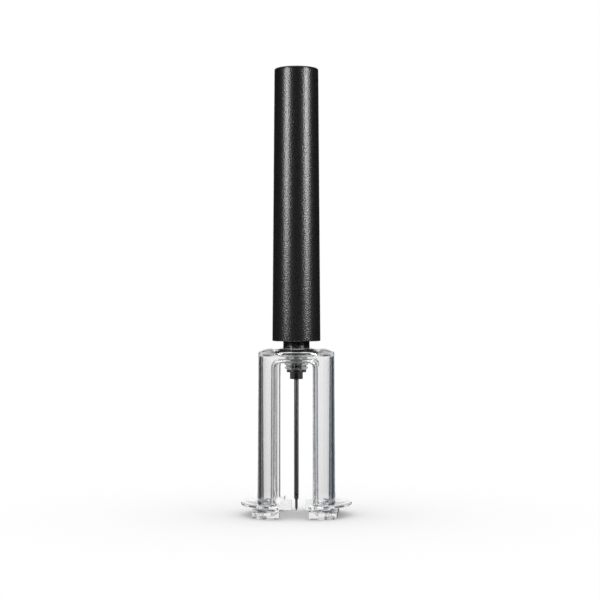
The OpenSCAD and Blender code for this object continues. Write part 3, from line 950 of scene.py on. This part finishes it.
def make_world():
    """A white room: what shows behind the object and through clear pieces is white, and what gloss
    reflects is a dark room with a softly lit ceiling and floor. Heights here are those of a ray's
    direction, from -1 straight down to 1 straight up."""
    world = bpy.data.worlds.new("Studio")
    bpy.context.scene.world = world
    world.use_nodes = True
    world.cycles.sampling_method = "NONE"
    tree = world.node_tree
    tree.nodes.clear()
    rays = node(tree, "ShaderNodeLightPath").outputs
    direction = node(tree, "ShaderNodeTexCoord").outputs["Generated"]
    height = node(tree, "ShaderNodeSeparateXYZ", {0: direction}).outputs[2]
    stage = bpy.context.scene.opener_stage
    ceiling = node(tree, "ShaderNodeMapRange", {
        0: height, 1: 0.45, 2: 0.95, 3: stage.gloss_walls, 4: stage.gloss_ceiling
    }, interpolation_type="SMOOTHSTEP").outputs[0]
    below = node(tree, "ShaderNodeMapRange", {
        0: height, 1: -0.6, 2: -0.15, 3: stage.gloss_floor, 4: 0.0
    }, interpolation_type="SMOOTHSTEP").outputs[0]
    gloss = node(tree, "ShaderNodeMath", {0: ceiling, 1: below}, operation="ADD").outputs[0]
    unseen = node(tree, "ShaderNodeMix", {
        0: rays["Is Glossy Ray"], 2: stage.fill, 3: gloss
    }).outputs[0]
    # clear pieces show a white wall down to the horizon, and below it the tone of the floor
    through = node(tree, "ShaderNodeMapRange", {
        0: height, 1: -0.12, 2: -0.02, 3: stage.floor_tone, 4: 1.0
    }).outputs[0]
    clear = node(tree, "ShaderNodeMix", {0: rays["Is Transmission Ray"], 2: unseen, 3: through})
    strength = node(tree, "ShaderNodeMix", {
        0: rays["Is Camera Ray"], 2: clear.outputs[0], 3: 1.0
    }).outputs[0]
    background = node(tree, "ShaderNodeBackground", {"Color": (1, 1, 1, 1), "Strength": strength})
    out = node(tree, "ShaderNodeOutputWorld")
    tree.links.new(background.outputs[0], out.inputs[0])


def follow(piece, view):
    """Makes a lamp or card go with the camera, from where it stands now."""
    piece.parent = view
    piece.matrix_parent_inverse = view.matrix_world.inverted()


def make_strip_light(name, azimuth, power, view):
    """A tall soft box, seen only in gloss. Azimuth is counted from the front, towards the right."""
    stage = bpy.context.scene.opener_stage
    data = bpy.data.lights.new(name, "AREA")
    data.shape, data.size, data.size_y = "RECTANGLE", stage.strip_width, stage.strip_height
    data.energy = power
    lamp = bpy.data.objects.new(name, data)
    lamp.location = (
        stage.strip_distance * math.sin(azimuth), -stage.strip_distance * math.cos(azimuth),
        stage.strip_centre,
    )
    aim = Vector((0, 0, stage.strip_centre)) - lamp.location
    lamp.rotation_euler = aim.to_track_quat("-Z", "Y").to_euler()
    lamp.visible_camera = lamp.visible_diffuse = lamp.visible_transmission = False
    bpy.context.scene.collection.objects.link(lamp)
    follow(lamp, view)


def make_stage():
    """Camera, pale floor, white room, two soft boxes and the black flags that draw clear edges."""
    scene, stage = bpy.context.scene, bpy.context.scene.opener_stage
    scene.view_settings.view_transform = "Standard"
    # light goes round inside the clear walls many times before it comes out
    scene.cycles.max_bounces = scene.cycles.glossy_bounces = 32
    scene.cycles.transmission_bounces = 32
    camera = bpy.data.cameras.new("Camera")
    camera.lens, camera.sensor_width, camera.shift_x = stage.lens, 36, stage.shift
    view = bpy.data.objects.new("Camera", camera)
    a = stage.azimuth
    view.location = (stage.distance * math.sin(a), -stage.distance * math.cos(a), stage.eye_height)
    view.rotation_euler = (math.pi / 2, 0, a)
    scene.collection.objects.link(view)
    scene.camera = view
    bpy.context.view_layer.update()
    make_world()

    # white laminate: a diffuse board
    colours, edge = scene.opener_colours, stage.floor_size / 2
    material, tree = new_material("White laminate")
    pale = finished(material, node(tree, "ShaderNodeBsdfDiffuse", {"Color": linear(colours.floor)}))
    corners = [(x, y, 0) for x, y in rectangle(-edge, edge, -edge, edge)]
    backdrop("floor", corners, pale, ("camera", "diffuse", "shadow"))
    # clear pieces show only the part of the floor that they stand on, so that the flags behind it
    # reach down to their feet
    turn = np.linspace(0, 2 * math.pi, 129)[:-1]
    rim = polar(turn, stage.mat_radius, 0)
    backdrop("mat", rim.tolist(), pale, ("transmission",))

    # the flags and the white card stand behind the object as the camera sees it, and go with it
    low_edge, high_edge, far = stage.flag_low, stage.flag_high, stage.flag_far
    half = stage.card_width / 2
    cards = [
        ("left_flag", "Black felt", colours.left_flag, "transmission",
         rectangle(-far, -stage.left_near, low_edge, high_edge)),
        ("right_flag", "Blue-black felt", colours.right_flag, "transmission",
         rectangle(stage.right_near, far, low_edge, high_edge)),
        ("back_card", "White card", colours.back_card, "glossy",
         rectangle(-half, half, stage.card_low, high_edge)),
    ]
    for name, stuff, tone, kind, corners in cards:
        material, tree = new_material(stuff)
        glow = finished(material, node(tree, "ShaderNodeEmission", {"Color": linear(tone)}))
        made = backdrop(name, [(x, stage.flag_distance, z) for x, z in corners], glow, (kind,))
        made.matrix_world = Matrix.Rotation(a, 4, "Z")
        follow(made, view)
    make_strip_light("left_strip", a - stage.left_angle, stage.left_power, view)
    make_strip_light("right_strip", a + stage.right_angle, stage.right_power, view)


# ---- Add-on ----


class OPENER_OT_grip(bpy.types.Operator):
    """Make the grip's shell and its cap"""

    bl_idname = "opener.grip"
    bl_label = "Grip"

    def execute(self, context):
        make_grip()
        return {"FINISHED"}


class OPENER_OT_barrel(bpy.types.Operator):
    """Make the pump barrel and the washer under it"""

    bl_idname = "opener.barrel"
    bl_label = "Barrel and washer"

    def execute(self, context):
        make_barrel()
        return {"FINISHED"}


class OPENER_OT_sleeve(bpy.types.Operator):
    """Make the clear sleeve"""

    bl_idname = "opener.sleeve"
    bl_label = "Clear sleeve"

    def execute(self, context):
        make_sleeve()
        return {"FINISHED"}


class OPENER_OT_feet(bpy.types.Operator):
    """Make the two clear feet"""

    bl_idname = "opener.feet"
    bl_label = "Feet"

    def execute(self, context):
        make_feet()
        return {"FINISHED"}


class OPENER_OT_wheels(bpy.types.Operator):
    """Make the foil cutting wheels and their pins"""

    bl_idname = "opener.wheels"
    bl_label = "Foil wheels"

    def execute(self, context):
        make_wheels()
        return {"FINISHED"}


class OPENER_OT_needle(bpy.types.Operator):
    """Make the needle and its holder"""

    bl_idname = "opener.needle"
    bl_label = "Needle"

    def execute(self, context):
        make_needle()
        return {"FINISHED"}


class OPENER_OT_inner(bpy.types.Operator):
    """Finish the inner parts that come from the frame"""

    bl_idname = "opener.inner"
    bl_label = "Inner parts"

    def execute(self, context):
        finish_inner_parts()
        return {"FINISHED"}


class OPENER_OT_stage(bpy.types.Operator):
    """Make the camera, floor, room and lights"""

    bl_idname = "opener.stage"
    bl_label = "Stage"

    def execute(self, context):
        make_stage()
        return {"FINISHED"}


OPERATORS = (
    OPENER_OT_stage, OPENER_OT_grip, OPENER_OT_barrel, OPENER_OT_sleeve, OPENER_OT_feet,
    OPENER_OT_wheels, OPENER_OT_needle, OPENER_OT_inner,
)


class OPENER_PT_panel(bpy.types.Panel):
    """Lists the pieces that can be made"""

    bl_idname = "OPENER_PT_panel"
    bl_label = "Wine Opener"
    bl_space_type = "VIEW_3D"
    bl_region_type = "UI"
    bl_category = "Wine Opener"

    def draw(self, context):
        for made in OPERATORS:
            self.layout.operator(made.bl_idname)
        for group in (context.scene.opener_sizes, context.scene.opener_colours):
            for name in group.bl_rna.properties.keys():
                if name not in ("rna_type", "name"):
                    self.layout.prop(group, name)


CLASSES = (OpenerSizes, OpenerColours, OpenerStage, *OPERATORS, OPENER_PT_panel)


def register():
    for made in CLASSES:
        bpy.utils.register_class(made)
    bpy.types.Scene.opener_sizes = PointerProperty(type=OpenerSizes)
    bpy.types.Scene.opener_colours = PointerProperty(type=OpenerColours)
    bpy.types.Scene.opener_stage = PointerProperty(type=OpenerStage)


def unregister():
    del bpy.types.Scene.opener_stage
    del bpy.types.Scene.opener_colours
    del bpy.types.Scene.opener_sizes
    for made in reversed(CLASSES):
        bpy.utils.unregister_class(made)


def main():
    register()
    for made in OPERATORS:
        category, name = made.bl_idname.split(".")
        getattr(getattr(bpy.ops, category), name)()


if __name__ == "__main__":
    main()
